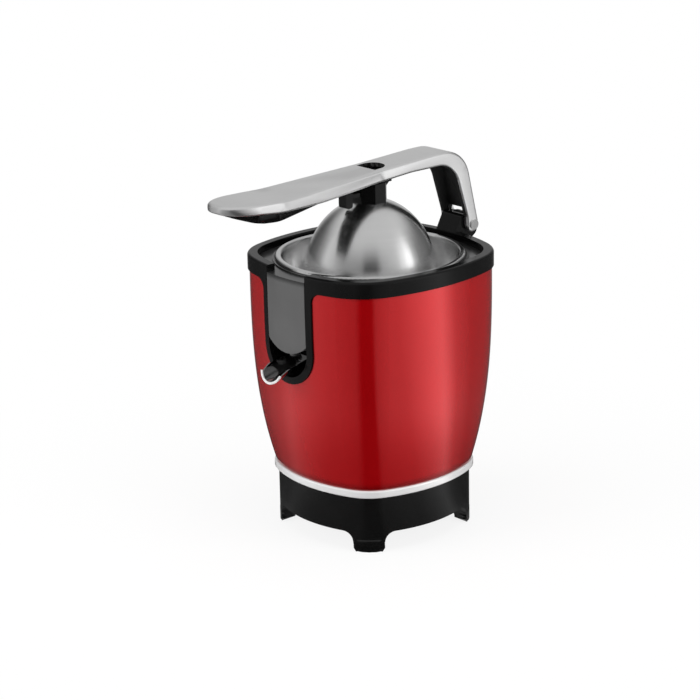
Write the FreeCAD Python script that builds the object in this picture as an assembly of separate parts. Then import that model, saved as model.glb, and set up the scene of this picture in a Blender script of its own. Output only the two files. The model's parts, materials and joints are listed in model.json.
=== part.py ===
import FreeCAD, Part
import math
import os

V = FreeCAD.Vector
UP = V(0, 0, 1)
Y_WAY = V(0, 1, 0)
os.makedirs("parts", exist_ok=True)

# Lever citrus press. Millimetres, +Z up, front at -Y, origin on the floor at the middle of the base.

# General clearances
FIT = 0.2             # gap of moulded pieces that plug into each other
RUN = 0.05            # radial running clearance of shafts and pins
AIR = 0.5             # free gap between pieces that move past each other

# Heights above the floor
PAD_HEIGHT = 2.5
ARCH_HEIGHT = 18.0    # underside of the base between its feet
BASE_TOP = 51.0
RING_HEIGHT = 7.0
RIM_BOTTOM = 235.5
RIM_TOP = 249.4

# Body outlines: half width, half depth, corner radius and bow of the sides
BASE_OUTLINE = (78.9, 78.9, 38.0, 7.6)
RING_OUTLINE = (81.5, 81.5, 40.0, 7.0)
SHELL_FOOT_OUTLINE = (79.6, 79.6, 38.5, 6.8)
BOWL_RADIUS = 83.4
BODY_SIDE = 10.4      # shell beyond the bowl's rim at the sides
BODY_END = 13.4       # and at front and back
SHELL_TOP_OUTLINE = (BOWL_RADIUS + BODY_SIDE, BOWL_RADIUS + BODY_END, 48.8, 6.2)
SHELL_SWELL = 2.9     # how early the shell reaches its full width
SHELL_WALL = 1.2
RIM_PROUD = 1.6       # rim and spout frame stand this far out of the shell
BASE_WALL = 3.0
RING_BAND = 5.0
RING_EDGE = 1.6

# Base
FOOT_REACH = 53.0     # half width of the arch at the floor
ARCH_REACH = 46.0     # half width of the arch at its top
ARCH_ROUND = 9.0
FOOT_PLACE = 56.5
PAD_RADIUS = 5.0
PLATE_THICK = 3.0
VENT_COUNT = 6
VENT_WIDTH = 4.0
VENT_LENGTH = 44.0
VENT_PITCH = 10.0
SCREW_RADIUS = 1.9
SCREW_HEAD = 3.6
SCREW_BITE = 10.0
GLAND_RADIUS = 6.0
GLAND_HOLE = 3.6
GLAND_FLANGE = 8.5
GLAND_HEIGHT = 36.0

# Rim
RIM_WIDTH = 9.0
RIM_LEDGE = 5.0       # ledge inside the rim that carries the juice collector
DECK_THICK = 3.0
DECK_TOP = 243.5
SKIRT_DEPTH = 12.0    # how far the rim plugs into the shell
RIM_EDGE = 2.4

# Front channel and spout frame
CHANNEL_HALF = 24.9   # half width of the open channel
FRAME_BAR = 6.3
CHANNEL_ROUND_Z = 180.0
FRAME_THICK = 8.0
FRAME_SHOULDER = 9.0
NICHE_BACK = -SHELL_TOP_OUTLINE[1] + 33.8
NICHE_WALL = 2.5
NICHE_LAP = 2.0       # the niche starts this far behind the bars' front
NICHE_CLEAR = 1.0     # under the juice collector

# Juice collector
BASIN_RADIUS = BOWL_RADIUS - 2.9
BASIN_WALL = 2.5
BASIN_FLOOR = 183.0
PANEL_HALF = 24.4
PANEL_SAG = 9.3       # depth of the round lower edge of the front panel
PANEL_LOW = 176.7
NOZZLE_PLACE = -SHELL_TOP_OUTLINE[1] + 8.8
NOZZLE_RADIUS = 4.5
NOZZLE_BORE = 3.0
NOZZLE_END = 173.0
TUBE_TOP = 200.0

# Strainer bowl
BOWL_TOP = 247.6
BOWL_ROLL = 4.6
BOWL_WALL = 1.0
BOWL_THROAT = BOWL_RADIUS - 8.0
BOWL_FLOOR = 203.0
BOWL_FLOOR_RADIUS = BOWL_RADIUS - 25.4
BOWL_HOLE = 11.0
BOWL_SHOULDER = 24.0  # height of the bend in the wall above the floor
BOWL_COLLAR = 4.0
SLOT_COUNT = 20
SLOT_WIDTH = 2.4
SLOT_ROWS = ((17.0, 31.0), (35.0, 51.0))

# Reamer and drive
REAMER_RADIUS = 33.0
REAMER_FOOT = 210.5
REAMER_TOP = 262.0
RIB_COUNT = 8
RIB_WIDTH = 3.2
RIB_RISE = 2.6
SHAFT_RADIUS = 6.0
SHAFT_FLAT = 4.6
SHAFT_LOW = 119.0
SHAFT_TOP = 232.0
PRESS_TRAVEL = 3.0
PLATE_LEVEL = 122.0
GEAR_PLATE_THICK = 4.0
POST_PLACE = 36.0
POST_RADIUS = 5.0
HUB_RADIUS = 9.0
BUSH_WALL = 3.0
STAGE_ONE_MODULE = 1.0
STAGE_TWO_MODULE = 1.25
MOTOR_TEETH = 12
IDLER_TEETH = 48
IDLER_PINION_TEETH = 14
OUTPUT_TEETH = 52
BACKLASH = 0.25
GEAR_WIDTH = 8.0
GEAR_GAP = 1.5
MOTOR_OFFSET = 44.0
CAN_RADIUS = 29.5
CAN_WALL = 1.2
CAN_LOW = 34.0
STATOR_LOW = 58.0
STATOR_HIGH = 92.0
ROTOR_RADIUS = 16.0
MOTOR_SHAFT = 3.0
FAN_LOW = 106.0
FAN_HIGH = 115.0
FAN_RADIUS = 24.0
FAN_BLADES = 7
BEARING_RADIUS = 7.0
BEARING_WIDTH = 7.0
COIL_HEIGHT = 9.0
GEAR_AIR = 0.9        # room between the gears and the cover's wall
CHASSIS_BACK = 76.0
CHASSIS_ROUND = 20.0
SPRING_RADIUS = 7.0
SPRING_LOW = 104.0
SWITCH_X = -36.0
COVER_INSET = 3.0
COVER_HIGH = 154.0
COVER_WALL = 2.0
TOWER_HIGH = 172.0

# Press cup and its mount
CUP_RADIUS = 59.0
CUP_MIDDLE = 224.0    # height of the widest circle of the egg shape
CUP_RISE = 71.6
CUP_RIM = 230.0
CUP_WALL = 1.2
KNOB_FLATS = 29.0
KNOB_TOP = CUP_MIDDLE + CUP_RISE + 14.8
KNOB_GROOVE = 1.8

# Lever arm: places along Y and heights of its side profile, counted from its waist above the cup
WAIST_TOP = CUP_MIDDLE + CUP_RISE + 22.0
PIN_Y = SHELL_TOP_OUTLINE[1] + 10.7
PIN_Z = RIM_TOP + 6.1
PIN_RADIUS = 3.5
PIN_HEAD = 4.6
PIN_HEAD_THICK = 1.4
CHEEK_ROUND = 7.0
ARM_HALF_REAR = 18.0
ARM_HALF_TIP = 25.5
CHEEK_THICK = 5.0
ARM_SKIN = 3.6
TIP_Y = -158.5
TIP_ROUND = 21.0
BELLY_Y = -118.0      # widest place of the paddle
PADDLE_Y = -105.0
WAIST_Y = -70.0
CROWN_Y = PIN_Y - 72.5
SHOULDER_Y = PIN_Y - 45.5
TIP_TOP = WAIST_TOP + 1.4
CROWN_TOP = WAIST_TOP + 9.0
TIP_LOW = WAIST_TOP - 6.1
WAIST_LOW = WAIST_TOP - 10.4
CROWN_LOW = WAIST_TOP - 2.8
BEND_Y = PIN_Y - 9.9  # corner of the outer bend before rounding
BEND_ROUND = 30.0
INNER_BEND_Y = PIN_Y - 23.3
INNER_BEND_ROUND = 24.0
ARM_EDGE = 2.6
SPINE_END = PIN_Z + 13.5
RECESS_FRONT = -4.0
RECESS_BACK = 14.0
RECESS_HALF = 12.0
GRIP_BELLY = WAIST_TOP - 18.0
GRIP_BACK = -46.0
SOCKET_FRONT = -38.0
SOCKET_BACK = 26.0
SOCKET_THICK = 4.0
GUSSET_DROP = 7.0
GUSSET_HALF = 4.0
LATCH_HALF = 5.0
THUMB_RISE = 6.4      # thumb pad above the latch pin
PRESS_CLEAR = 2.8     # room under the thumb lever for its stroke
LATCH_PIN_Y = -19.0
LATCH_PIN_Z = WAIST_TOP - 4.6
LATCH_PIN_RADIUS = 1.5
TONGUE_FRONT = -31.0
TONGUE_BACK = -23.5
TONGUE_LOW = WAIST_TOP - 26.1
HOOK_LOW = WAIST_TOP - 17.6
HOOK_HIGH = WAIST_TOP - 14.1
GRIP_TOP = WAIST_TOP - 5.9
GRIP_SCREWS = (-132.0, -66.0)
GRIP_BOSS = 4.2
GRIP_BITE = 2.4
GRIP_SEAT = 3.0       # plastic between a screw head and its boss
HEAD_THICK = 2.0

# Hinge bracket on the back of the rim
KNUCKLE_RADIUS = 9.0
FLANGE_HALF = 36.0
FLANGE_NECK = 21.0    # half width where the flange starts to slope down
FLANGE_OUT = 4.5
FLANGE_TOP = 246.5
FLANGE_LOW = 237.0
FLANGE_END = 5.0      # height of the flange at its two ends
BRACKET_SCREW_X = 28.0
BRACKET_SCREW_Z = 240.5
BRACKET_SCREW_HEAD = 2.9
BRACKET_SCREW_RADIUS = 1.5
BRACKET_SCREW_BITE = 7.0
BRACKET_SEAT = 0.4    # screw heads sit this far behind the rim's rearmost line
BRACKET_HEAD_THICK = 1.6

# Spout
SPOUT_RADIUS = 14.2
SPOUT_WALL = 1.2
SPOUT_TILT = 14.0
SPOUT_REACH = 21.7    # lip in front of the shell
SPOUT_DROP = 12.0     # lip under the centre of the channel's round end
SPOUT_LENGTH = 38.0
SPOUT_STEPS = ((0.0, -16.0), (4.1, -6.0, 6.0), (12.0, -1.4, 10.0), (48.5, 6.6))  # side edge from the lip
SPOUT_PIN_BACK = 40.5
SPOUT_PIN_DROP = 3.0
SPOUT_LIP_Y = -SHELL_TOP_OUTLINE[1] - SPOUT_REACH
SPOUT_LIP_Z = CHANNEL_ROUND_Z - SPOUT_DROP
SPOUT_EDGE = [(SPOUT_LIP_Y + step[0], SPOUT_LIP_Z + step[1], *step[2:]) for step in SPOUT_STEPS]
SPOUT_PIN_Y = SPOUT_LIP_Y + SPOUT_PIN_BACK
SPOUT_PIN_Z = SPOUT_LIP_Z - SPOUT_PIN_DROP
SPOUT_PIN_RADIUS = 2.0
SPOUT_HUB_RADIUS = 3.8
SPOUT_HUB_HALF = 11.0


def save(name, shape):
    """Write one piece, or a group of like pieces, under its own name."""
    shape.exportStep("parts/%s.step" % name)
    print(name, "solids", len(shape.Solids), "valid", shape.isValid(), "volume %.0f" % shape.Volume)


def cylinder(radius, low, high, x=0.0, y=0.0):
    return Part.makeCylinder(radius, high - low, V(x, y, low))


def tube(outer, inner, low, high, x=0.0, y=0.0):
    return cylinder(outer, low, high, x, y).cut(cylinder(inner, low - 1, high + 1, x, y))


def block(x0, x1, y0, y1, z0, z1):
    return Part.makeBox(x1 - x0, y1 - y0, z1 - z0, V(x0, y0, z0))


def rod_x(radius, x0, x1, y, z):
    return Part.makeCylinder(radius, x1 - x0, V(x0, y, z), V(1, 0, 0))


def rounded_wire(corners, place):
    """Closed outline through corners (u, v) or (u, v, radius), each corner turned by a tangent arc."""
    count = len(corners)
    starts, ends, middles = [], [], []
    for i, corner in enumerate(corners):
        here = V(corner[0], corner[1], 0)
        radius = corner[2] if len(corner) > 2 else 0.0
        back = V(*corners[i - 1][:2], 0).sub(here)
        ahead = V(*corners[(i + 1) % count][:2], 0).sub(here)
        back.normalize()
        ahead.normalize()
        half = back.getAngle(ahead) / 2
        if radius <= 0:
            starts.append(here)
            ends.append(here)
            middles.append(None)
            continue
        reach = radius / math.tan(half)
        bisector = back + ahead
        bisector.normalize()
        starts.append(here + back * reach)
        ends.append(here + ahead * reach)
        middles.append(here + bisector * (radius / math.sin(half) - radius))
    edges = []
    for i in range(count):
        if middles[i] is not None:
            edges.append(Part.Arc(place(starts[i]), place(middles[i]), place(ends[i])).toShape())
        start, end = ends[i], starts[(i + 1) % count]
        if start.distanceToPoint(end) > 1e-6:
            edges.append(Part.LineSegment(place(start), place(end)).toShape())
    return Part.Wire(edges)


def side_prism(corners, x0, x1):
    """Outline drawn in the YZ plane, carried from x0 to x1."""
    wire = rounded_wire(corners, lambda p: V(x0, p.x, p.y))
    return Part.Face(wire).extrude(V(x1 - x0, 0, 0))


def front_prism(corners, y0, y1):
    """Outline drawn in the XZ plane, carried from y0 to y1."""
    wire = rounded_wire(corners, lambda p: V(p.x, y0, p.y))
    return Part.Face(wire).extrude(V(0, y1 - y0, 0))


def plan_prism(corners, z0, z1):
    """Outline drawn in the XY plane, carried from z0 to z1."""
    wire = rounded_wire(corners, lambda p: V(p.x, p.y, z0))
    return Part.Face(wire).extrude(V(0, 0, z1 - z0))


def turned(corners):
    """Solid of revolution about Z from an outline of (radius, height) corners."""
    wire = rounded_wire(corners, lambda p: V(p.x, 0, p.y))
    return Part.Face(wire).revolve(V(0, 0, 0), UP, 360)


def fused(first, *others):
    return first.fuse(list(others)).removeSplitter()


def around(shape, count, start=0.0):
    """Copies of a shape, evenly spaced about the Z axis."""
    copies = []
    for i in range(count):
        copy = shape.copy()
        copy.rotate(V(0, 0, 0), UP, start + 360.0 * i / count)
        copies.append(copy)
    return copies


def four_corners(place):
    return [(sx * place, sy * place) for sx in (-1, 1) for sy in (-1, 1)]


def bowed_square(size, z, inset=0.0):
    """Rounded square whose sides bow outwards, as eight tangent arcs."""
    half_x, half_y, corner, bow = size
    kx = half_x - corner - bow
    ky = half_y - corner - bow
    half_x, half_y, corner = half_x - inset, half_y - inset, corner - inset
    side_x = ((corner + bow) ** 2 + ky ** 2 - corner ** 2) / (2 * bow)
    side_y = ((corner + bow) ** 2 + kx ** 2 - corner ** 2) / (2 * bow)
    low = math.atan2(ky, kx - half_x + side_x)
    high = math.atan2(ky - half_y + side_y, kx)

    def on_corner(angle, sx, sy):
        return V(sx * (kx + corner * math.cos(angle)), sy * (ky + corner * math.sin(angle)), z)

    middle = (low + high) / 2
    quarters = ((1, 1, low, high), (-1, 1, high, low), (-1, -1, low, high), (1, -1, high, low))
    sides = (V(0, half_y, z), V(-half_x, 0, z), V(0, -half_y, z), V(half_x, 0, z))
    edges = []
    for i, (sx, sy, first, last) in enumerate(quarters):
        start, end = on_corner(first, sx, sy), on_corner(last, sx, sy)
        edges.append(Part.Arc(start, on_corner(middle, sx, sy), end).toShape())
        nx, ny, next_first, _ = quarters[(i + 1) % 4]
        edges.append(Part.Arc(end, sides[i], on_corner(next_first, nx, ny)).toShape())
    return Part.Wire(edges)


def bowed_block(size, low, high, inset=0.0):
    return Part.Face(bowed_square(size, low, inset)).extrude(V(0, 0, high - low))


def shell_size(z):
    """Outline of the red shell at a height: it swells quickly from the ring, then stands up straight."""
    u = min((z - SHELL_LOW) / (RIM_BOTTOM - SHELL_LOW), 1.0)
    share = 1 - (1 - u) ** SHELL_SWELL
    return tuple(a + (b - a) * share for a, b in zip(SHELL_FOOT_OUTLINE, SHELL_TOP_OUTLINE))


def skin(inset, low, high, levels=6):
    """Solid bounded by the shell's surface, moved inwards by inset."""
    heights = [low + (high - low) * (i / (levels - 1.0)) ** 1.4 for i in range(levels)]
    return Part.makeLoft([bowed_square(shell_size(z), z, inset) for z in heights], True, False)


def involute(angle):
    return math.tan(angle) - angle


def gear(module, teeth, low, high, x, y, phase):
    """Spur gear with straight-cut involute teeth; phase is the direction of one tooth's middle."""
    pressure = math.radians(20)
    pitch = module * teeth / 2
    base = pitch * math.cos(pressure)
    tip = pitch + 0.95 * module
    root = pitch - 1.25 * module
    half_pitch = math.pi / (2 * teeth) - BACKLASH / (4 * pitch)
    radii = [root] + [r for r in (max(base, root + 0.05), pitch, tip)]

    def half_angle(radius):
        return half_pitch + involute(pressure) - involute(math.acos(min(base / radius, 1.0)))

    points = []
    for i in range(teeth):
        middle = phase + 2 * math.pi * i / teeth
        flank = [(r, half_angle(max(r, base))) for r in radii]
        for r, half in flank:
            points.append(V(x + r * math.cos(middle - half), y + r * math.sin(middle - half), low))
        for r, half in reversed(flank):
            points.append(V(x + r * math.cos(middle + half), y + r * math.sin(middle + half), low))
    wire = Part.makePolygon(points + points[:1])
    return Part.Face(wire).extrude(V(0, 0, high - low))


# Values that follow from the driving sizes
SHELL_LOW = BASE_TOP + RING_HEIGHT
RIM_OUTLINE = (SHELL_TOP_OUTLINE[0] + RIM_PROUD, SHELL_TOP_OUTLINE[1] + RIM_PROUD,
               SHELL_TOP_OUTLINE[2] + RIM_PROUD, SHELL_TOP_OUTLINE[3])
FRAME_HALF = CHANNEL_HALF + FRAME_BAR
FLOOR_LEVEL = ARCH_HEIGHT
PLATE_TOP = FLOOR_LEVEL + PLATE_THICK
STAGE_ONE = STAGE_ONE_MODULE * (MOTOR_TEETH + IDLER_TEETH) / 2
STAGE_TWO = STAGE_TWO_MODULE * (IDLER_PINION_TEETH + OUTPUT_TEETH) / 2
IDLER_COSINE = (MOTOR_OFFSET ** 2 + STAGE_TWO ** 2 - STAGE_ONE ** 2) / (2 * MOTOR_OFFSET * STAGE_TWO)
IDLER_TURN = math.acos(IDLER_COSINE)
IDLER_ANGLE = math.pi / 2 - IDLER_TURN
IDLER_X = STAGE_TWO * math.cos(IDLER_ANGLE)
IDLER_Y = STAGE_TWO * math.sin(IDLER_ANGLE)
CHASSIS_HALF = IDLER_X + STAGE_ONE_MODULE * (IDLER_TEETH / 2 + 1) + GEAR_AIR + COVER_WALL + COVER_INSET
LOWER_GEARS = PLATE_LEVEL + GEAR_PLATE_THICK + 3.0
UPPER_GEARS = LOWER_GEARS + GEAR_WIDTH + GEAR_GAP


def channel_outline(half, top):
    """U outline of the front channel: straight sides and a half-round lower end."""
    low = CHANNEL_ROUND_Z - half
    turn = half - 0.05
    return [(-half, top), (-half, low, turn), (half, low, turn), (half, top)]


def frame_outline(gap):
    """Outer edge of the spout frame, with its round shoulders under the rim."""
    half = FRAME_HALF + gap
    low = CHANNEL_ROUND_Z - half
    turn = half - 0.05
    shoulder = half + FRAME_SHOULDER + 6
    under = RIM_BOTTOM - gap
    return [(-shoulder, RIM_TOP), (-shoulder, under), (-half, under, FRAME_SHOULDER), (-half, low, turn),
            (half, low, turn), (half, under, FRAME_SHOULDER), (shoulder, under), (shoulder, RIM_TOP)]


def make_base():
    outer = bowed_block(BASE_OUTLINE, PAD_HEIGHT, BASE_TOP)
    pocket = bowed_block(BASE_OUTLINE, FLOOR_LEVEL, BASE_TOP + 1, BASE_WALL)
    reach = BASE_OUTLINE[0] + 5
    arch = [(-FOOT_REACH, -5), (-ARCH_REACH, ARCH_HEIGHT, ARCH_ROUND),
            (ARCH_REACH, ARCH_HEIGHT, ARCH_ROUND), (FOOT_REACH, -5)]
    housing = outer.cut([pocket, front_prism(arch, -reach, reach), side_prism(arch, -reach, reach)])
    back = BASE_OUTLINE[1]
    gland_hole = Part.makeCylinder(GLAND_RADIUS + RUN, 20, V(0, back - 10, GLAND_HEIGHT), Y_WAY)
    housing = housing.cut(gland_hole)
    sockets = [cylinder(PAD_RADIUS / 2, 0, 2 * PAD_HEIGHT, x, y) for x, y in four_corners(FOOT_PLACE)]
    save("base_housing", housing.cut(sockets))

    pads = [fused(cylinder(PAD_RADIUS, 0, PAD_HEIGHT, x, y),
                  cylinder(PAD_RADIUS / 2 - RUN, PAD_HEIGHT - 1, 2 * PAD_HEIGHT - RUN, x, y))
            for x, y in four_corners(FOOT_PLACE)]
    save("foot_pads", Part.makeCompound(pads))

    plate = bowed_block(BASE_OUTLINE, FLOOR_LEVEL, PLATE_TOP, BASE_WALL + FIT)
    vents = [block(-VENT_LENGTH / 2, VENT_LENGTH / 2, y - VENT_WIDTH / 2, y + VENT_WIDTH / 2,
                   FLOOR_LEVEL - 1, PLATE_TOP + 1)
             for y in [VENT_PITCH * (i - (VENT_COUNT - 1) / 2.0) for i in range(VENT_COUNT)]]
    holes = [cylinder(SCREW_RADIUS + FIT, FLOOR_LEVEL - 1, PLATE_TOP + 1, x, y)
             for x, y in four_corners(POST_PLACE)]
    save("bottom_plate", plate.cut(vents + holes))

    screws = [fused(cylinder(SCREW_HEAD, FLOOR_LEVEL - HEAD_THICK, FLOOR_LEVEL, x, y),
                    cylinder(SCREW_RADIUS, FLOOR_LEVEL - 1, PLATE_TOP + SCREW_BITE, x, y))
              for x, y in four_corners(POST_PLACE)]
    save("bottom_screws", Part.makeCompound(screws))

    gland = Part.makeCylinder(GLAND_FLANGE, 2.0, V(0, back, GLAND_HEIGHT), Y_WAY)
    inside = back - BASE_WALL - 1
    neck = Part.makeCylinder(GLAND_RADIUS, BASE_WALL + 2, V(0, inside, GLAND_HEIGHT), Y_WAY)
    bore = Part.makeCylinder(GLAND_HOLE, 30, V(0, back - 15, GLAND_HEIGHT), Y_WAY)
    save("cord_gland", fused(gland, neck).cut(bore))

    ring = bowed_block(RING_OUTLINE, BASE_TOP, SHELL_LOW)
    level = [e for e in ring.Edges if e.BoundBox.ZMax - e.BoundBox.ZMin < 1e-6]
    ring = ring.makeFillet(RING_EDGE, level)
    save("chrome_ring", ring.cut(bowed_block(RING_OUTLINE, BASE_TOP - 1, SHELL_LOW + 1, RING_BAND)))


def make_body():
    channel_back = -BASIN_RADIUS / 2
    far = -SHELL_TOP_OUTLINE[1] - 20
    shell = skin(0, SHELL_LOW, RIM_BOTTOM).cut(skin(SHELL_WALL, SHELL_LOW - 1, RIM_BOTTOM + 1))
    save("body_shell", shell.cut(front_prism(frame_outline(FIT), far, channel_back)))

    rim = bowed_block(RIM_OUTLINE, RIM_BOTTOM, RIM_TOP)
    rim = rim.makeFillet(RIM_EDGE, [e for e in rim.Edges if e.BoundBox.ZMin > RIM_TOP - 1e-6])
    plug = SHELL_WALL + FIT + RIM_PROUD
    skirt = bowed_block(RIM_OUTLINE, RIM_BOTTOM - SKIRT_DEPTH, RIM_BOTTOM, plug)
    deck_low = DECK_TOP - DECK_THICK
    rim = fused(rim, skirt).cut([bowed_block(RIM_OUTLINE, deck_low, RIM_TOP + 1, RIM_WIDTH),
                                 bowed_block(RIM_OUTLINE, 0, RIM_TOP + 1, RIM_WIDTH + RIM_LEDGE)])
    gap = block(-CHANNEL_HALF, CHANNEL_HALF, far, channel_back, 0, RIM_TOP + 1)
    under = block(-FRAME_HALF - FRAME_SHOULDER - 8, FRAME_HALF + FRAME_SHOULDER + 8, far, channel_back,
                  0, RIM_BOTTOM)
    save("top_rim", rim.cut([gap, under] + bracket_bores(BRACKET_SCREW_RADIUS)))

    band = skin(-RIM_PROUD, CHANNEL_ROUND_Z - 2 * FRAME_HALF, RIM_BOTTOM)
    band = band.cut(skin(FRAME_THICK, CHANNEL_ROUND_Z - 3 * FRAME_HALF, RIM_BOTTOM + 1))
    frame = band.common(front_prism(frame_outline(0), far, channel_back))
    niche_top = BASIN_FLOOR - NICHE_CLEAR
    front = -SHELL_TOP_OUTLINE[1] + FRAME_THICK + NICHE_LAP
    niche = front_prism(channel_outline(CHANNEL_HALF + NICHE_WALL, niche_top), front, NICHE_BACK)
    hollow = front_prism(channel_outline(CHANNEL_HALF, RIM_TOP + 1), far, NICHE_BACK - NICHE_WALL)
    frame = fused(frame, niche).cut(hollow)
    pin_end = FRAME_HALF + NICHE_WALL
    pin = rod_x(SPOUT_PIN_RADIUS + RUN, -pin_end, pin_end, SPOUT_PIN_Y, SPOUT_PIN_Z)
    save("spout_frame", frame.cut(pin))


def make_collector():
    deck_low = DECK_TOP - DECK_THICK
    floor_top = BASIN_FLOOR + BASIN_WALL
    deck = bowed_block(RIM_OUTLINE, deck_low, DECK_TOP, RIM_WIDTH + FIT)
    wall = cylinder(BASIN_RADIUS, BASIN_FLOOR, DECK_TOP)
    lip = tube(BOWL_RADIUS + 2.2, BOWL_RADIUS + 0.6, deck_low, DECK_TOP + 1.2)

    far = -SHELL_TOP_OUTLINE[1] - 20
    panel = rounded_panel(PANEL_HALF, PANEL_LOW, DECK_TOP, far, -BASIN_RADIUS + 14)
    panel = panel.common(skin(-RIM_PROUD, PANEL_LOW - 10, DECK_TOP + 2))
    inside = rounded_panel(PANEL_HALF - BASIN_WALL, PANEL_LOW + BASIN_WALL, deck_low, far, -BASIN_RADIUS + 12)
    inside = inside.common(skin(BASIN_WALL - RIM_PROUD, PANEL_LOW - 10, DECK_TOP + 2))
    collector = fused(deck, wall, lip, panel)
    hollow = cylinder(BASIN_RADIUS - BASIN_WALL, floor_top, DECK_TOP + 5)
    nozzle = cylinder(NOZZLE_RADIUS, NOZZLE_END, PANEL_LOW + BASIN_WALL + 1, 0, NOZZLE_PLACE)
    drain = cylinder(NOZZLE_BORE, NOZZLE_END - 1, PANEL_LOW + BASIN_WALL + 4, 0, NOZZLE_PLACE)
    post = cylinder(SHAFT_RADIUS + AIR + BASIN_WALL, BASIN_FLOOR, TUBE_TOP)
    way = cylinder(SHAFT_RADIUS + AIR, BASIN_FLOOR - 1, TUBE_TOP + 1)
    collector = fused(collector.cut([inside, hollow]), nozzle, post).cut([drain, way])
    save("juice_collector", collector)


def rounded_panel(half, low, top, y0, y1):
    """Block behind the front panel: straight sides and a shallow round lower edge."""
    left, right = V(-half, y0, low + PANEL_SAG), V(half, y0, low + PANEL_SAG)
    edges = [Part.Arc(left, V(0, y0, low), right).toShape(),
             Part.LineSegment(right, V(half, y0, top)).toShape(),
             Part.LineSegment(V(half, y0, top), V(-half, y0, top)).toShape(),
             Part.LineSegment(V(-half, y0, top), left).toShape()]
    return Part.Face(Part.Wire(edges)).extrude(V(0, y1 - y0, 0))


def make_bowl():
    outer_r, roll = BOWL_RADIUS, BOWL_ROLL
    wall = BOWL_WALL
    mouth = outer_r - roll
    bend = BOWL_FLOOR + BOWL_SHOULDER
    profile = [(BOWL_HOLE, BOWL_FLOOR), (BOWL_FLOOR_RADIUS, BOWL_FLOOR, 16), (BOWL_THROAT, bend, 30),
               (mouth - wall, BOWL_TOP - wall, 1.2), (outer_r - wall, BOWL_TOP - wall, 1.2),
               (outer_r - wall, DECK_TOP), (outer_r, DECK_TOP), (outer_r, BOWL_TOP, 2.0),
               (mouth - wall, BOWL_TOP, 2.0), (BOWL_THROAT - wall, bend, 30),
               (BOWL_FLOOR_RADIUS - wall, BOWL_FLOOR + wall, 15), (BOWL_HOLE, BOWL_FLOOR + wall)]
    bowl = turned(profile)
    collar = tube(BOWL_HOLE + wall, BOWL_HOLE, BOWL_FLOOR, BOWL_FLOOR + BOWL_COLLAR)
    slots = []
    for inner, outer in SLOT_ROWS:
        slot = block(inner, outer, -SLOT_WIDTH / 2, SLOT_WIDTH / 2, BOWL_FLOOR - 1, BOWL_FLOOR + wall + 1)
        slots += around(slot, SLOT_COUNT)
    save("strainer_bowl", fused(bowl, collar).cut(slots))


def make_reamer():
    low, top, radius = REAMER_FOOT, REAMER_TOP, REAMER_RADIUS
    height = top - low
    skirt = low + 0.08 * height
    core = turned([(0, low), (radius, low), (radius, skirt, 2), (0.6 * radius, low + 0.5 * height, 40),
                   (0.16 * radius, top - 2, 3), (0, top - 2)])
    rise = RIB_RISE
    rib = [(0, low + 2), (radius, low + 2), (radius + rise - 1, skirt, 3),
           (0.6 * radius + rise, low + 0.5 * height, 40), (0.2 * radius + rise, top - 1, 4), (0, top)]
    wire = rounded_wire(rib, lambda p: V(p.x, -RIB_WIDTH / 2, p.y))
    fin = Part.Face(wire).extrude(V(0, RIB_WIDTH, 0))
    reamer = fused(core, *around(fin, RIB_COUNT))
    save("reamer_cone", reamer.cut(cylinder(SHAFT_RADIUS + RUN, low - 1, SHAFT_TOP + RUN)))


def flatted(radius, flat, low, high):
    """Round bar with two flats, as used where a shaft drives and still slides."""
    return cylinder(radius, low, high).common(block(-radius - 1, radius + 1, -flat, flat, low, high))


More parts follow.
